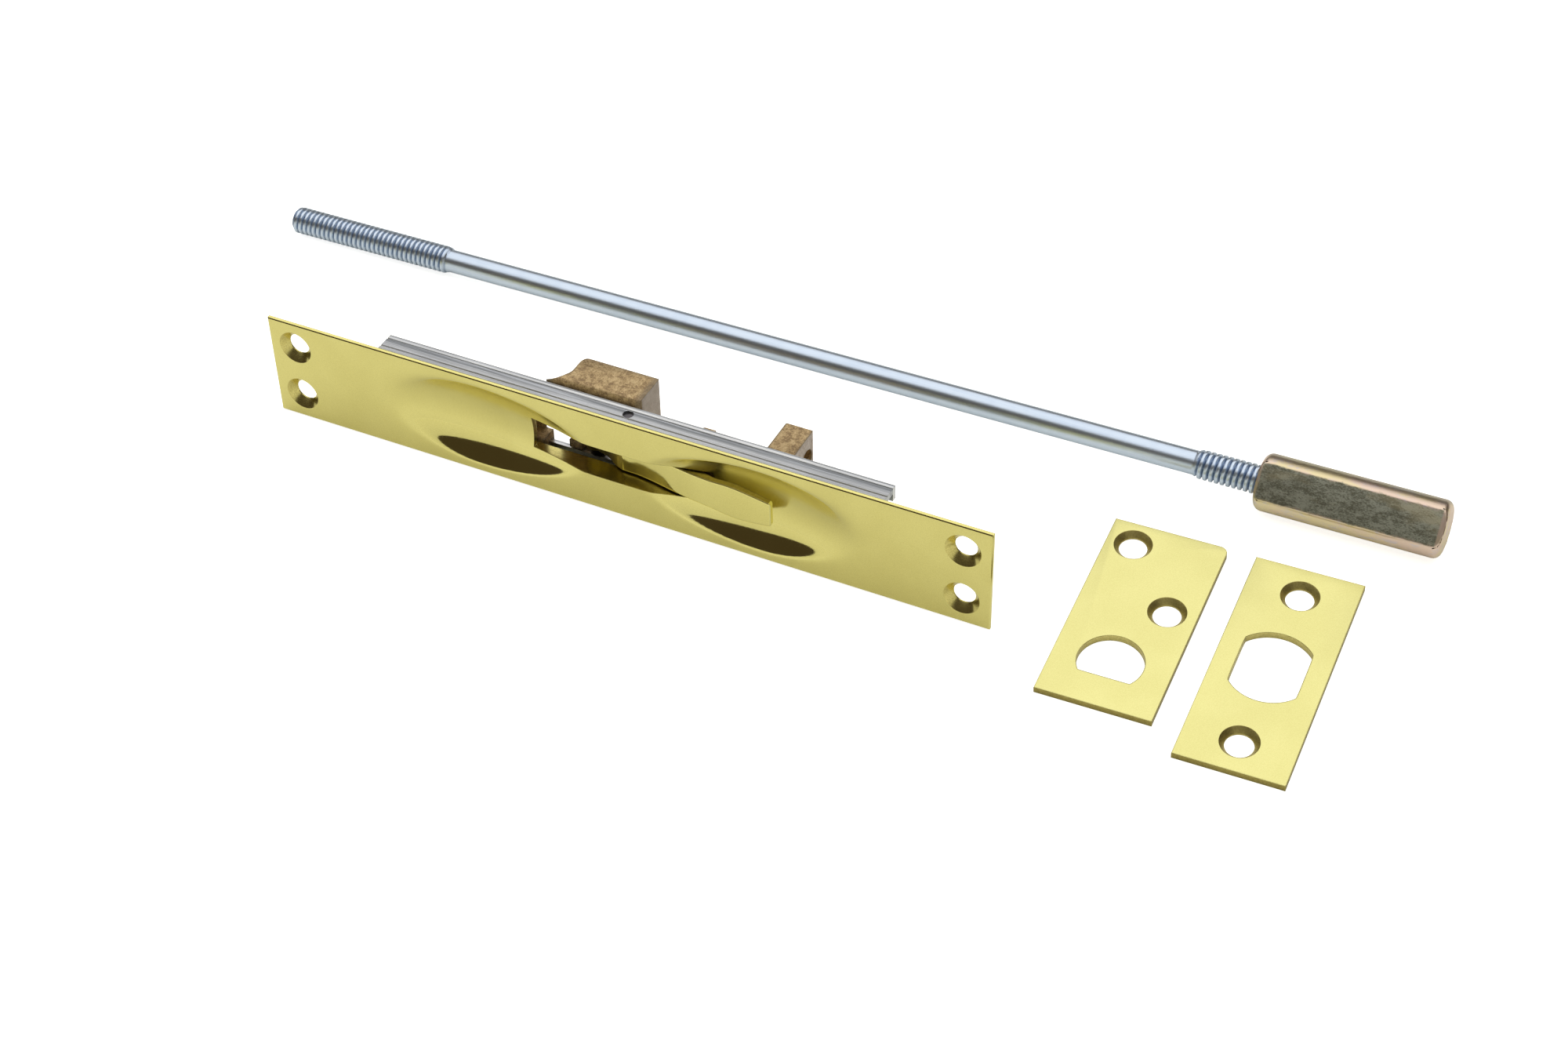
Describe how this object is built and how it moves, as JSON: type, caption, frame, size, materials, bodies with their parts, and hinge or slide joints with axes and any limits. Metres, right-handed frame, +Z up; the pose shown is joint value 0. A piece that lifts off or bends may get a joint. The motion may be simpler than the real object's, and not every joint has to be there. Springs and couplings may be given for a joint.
{
  "type": "lever extension flush bolt",
  "caption": "Lever extension flush bolt kit: faceplate with lever and slide, threaded rod with bolt tip, strike and guide plates.",
  "frame": {"origin": "centre of the whole kit's footprint, on the surface it lies on", "axes": "+X along the faceplate towards the bolt tip, +Y to the back (the side of the rod), +Z up"},
  "size_m": [0.2793, 0.0778, 0.0255],
  "materials": {
    "satin_brass": "satin",
    "polished_brass": "polished",
    "cast_bronze": "as cast",
    "chromate_steel": "yellow passivated zinc plate",
    "aluminium": "extruded",
    "steel": "ground",
    "spring_steel": "rolled",
    "zinc_steel": "zinc plated"
  },
  "bodies": {
    "case": {"faceplate": "satin_brass", "housing": "aluminium", "pivot_pin": "steel"},
    "lever": {"lever": "polished_brass", "crank_pin": "steel"},
    "slide": {"slide": "cast_bronze", "hold_spring": "spring_steel"},
    "rod": {"rod": "zinc_steel"},
    "tip": {"bolt_tip": "chromate_steel"},
    "strike": {"strike_plate": "satin_brass"},
    "guide": {"guide_plate": "satin_brass"}
  },
  "joints": [
    {"name": "lever_pivot", "type": "hinge", "parent": "case", "child": "lever", "pos_m": [-0.02389, -0.01422, 0.01209], "axis": [0, -0.1105, -0.9939], "range_deg": [0, 152]},
    {"name": "slide_travel", "type": "slide", "parent": "case", "child": "slide", "axis": [1, 0, 0], "range_m": [0, 0.01905]},
    {"name": "rod_lift", "type": "slide", "parent": "case", "child": "rod", "axis": [0, 0, 1], "range_m": [0, 0.1]},
    {"name": "tip_turn", "type": "hinge", "parent": "rod", "child": "tip", "pos_m": [0.12039, 0.03268, 0.00646], "axis": [0.9999, 0.0035, 0.0126], "continuous": true},
    {"name": "strike_lift", "type": "slide", "parent": "case", "child": "strike", "axis": [0, 0, 1], "range_m": [0, 0.1]},
    {"name": "guide_lift", "type": "slide", "parent": "case", "child": "guide", "axis": [0, 0, 1], "range_m": [0, 0.1]}
  ],
  "couplings": [
    {"joint": "lever_pivot", "follows": "slide_travel", "rad_per_m": 139.26}
  ]
}
